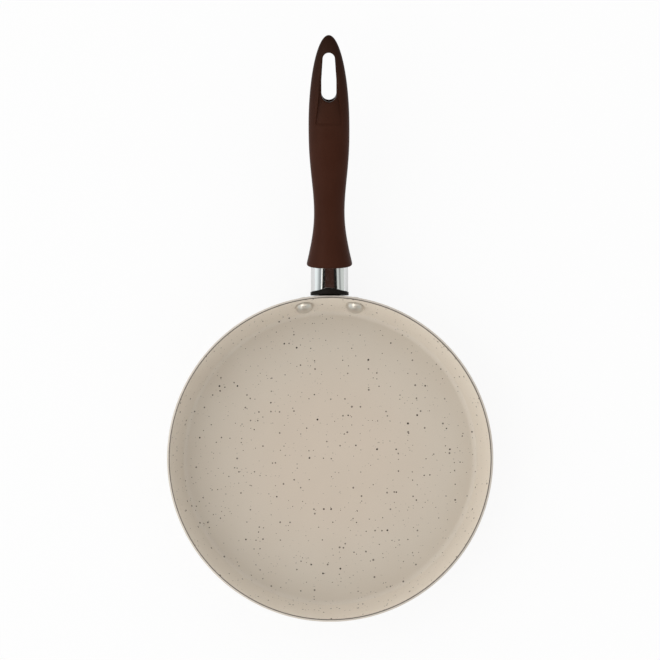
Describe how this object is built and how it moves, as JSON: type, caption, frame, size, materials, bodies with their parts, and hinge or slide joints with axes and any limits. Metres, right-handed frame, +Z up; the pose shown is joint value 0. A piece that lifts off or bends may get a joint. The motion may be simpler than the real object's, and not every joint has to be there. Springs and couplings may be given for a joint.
{
  "type": "tapioca pan",
  "caption": "Shallow round frying pan with a pale speckled coating, sloping wall, riveted bracket, polished sleeve and a long moulded handle with a hanging slot.",
  "frame": {"origin": "centre of the pan's base, on the surface that it stands on", "axes": "+Z up out of the pan's mouth, +Y along the handle away from the pan"},
  "size_m": [0.22, 0.3916, 0.0601],
  "materials": {
    "pan_coating": "satin speckled cream coating over drawn aluminium, bare metal at the rim",
    "bracket_black": "die cast, black enamel",
    "rivet_metal": "smooth domed heads",
    "sleeve_chrome": "polished",
    "handle_brown": "satin soft-touch, dark brown",
    "fastener_steel": "zinc plated"
  },
  "bodies": {
    "root": {"pan_body": "pan_coating", "handle_bracket": "bracket_black", "rivet_left": "rivet_metal", "rivet_right": "rivet_metal", "flame_guard": "sleeve_chrome", "handle_grip": "handle_brown", "handle_screw": "fastener_steel", "screw_washer": "fastener_steel", "bracket_nut": "fastener_steel"}
  },
  "joints": []
}
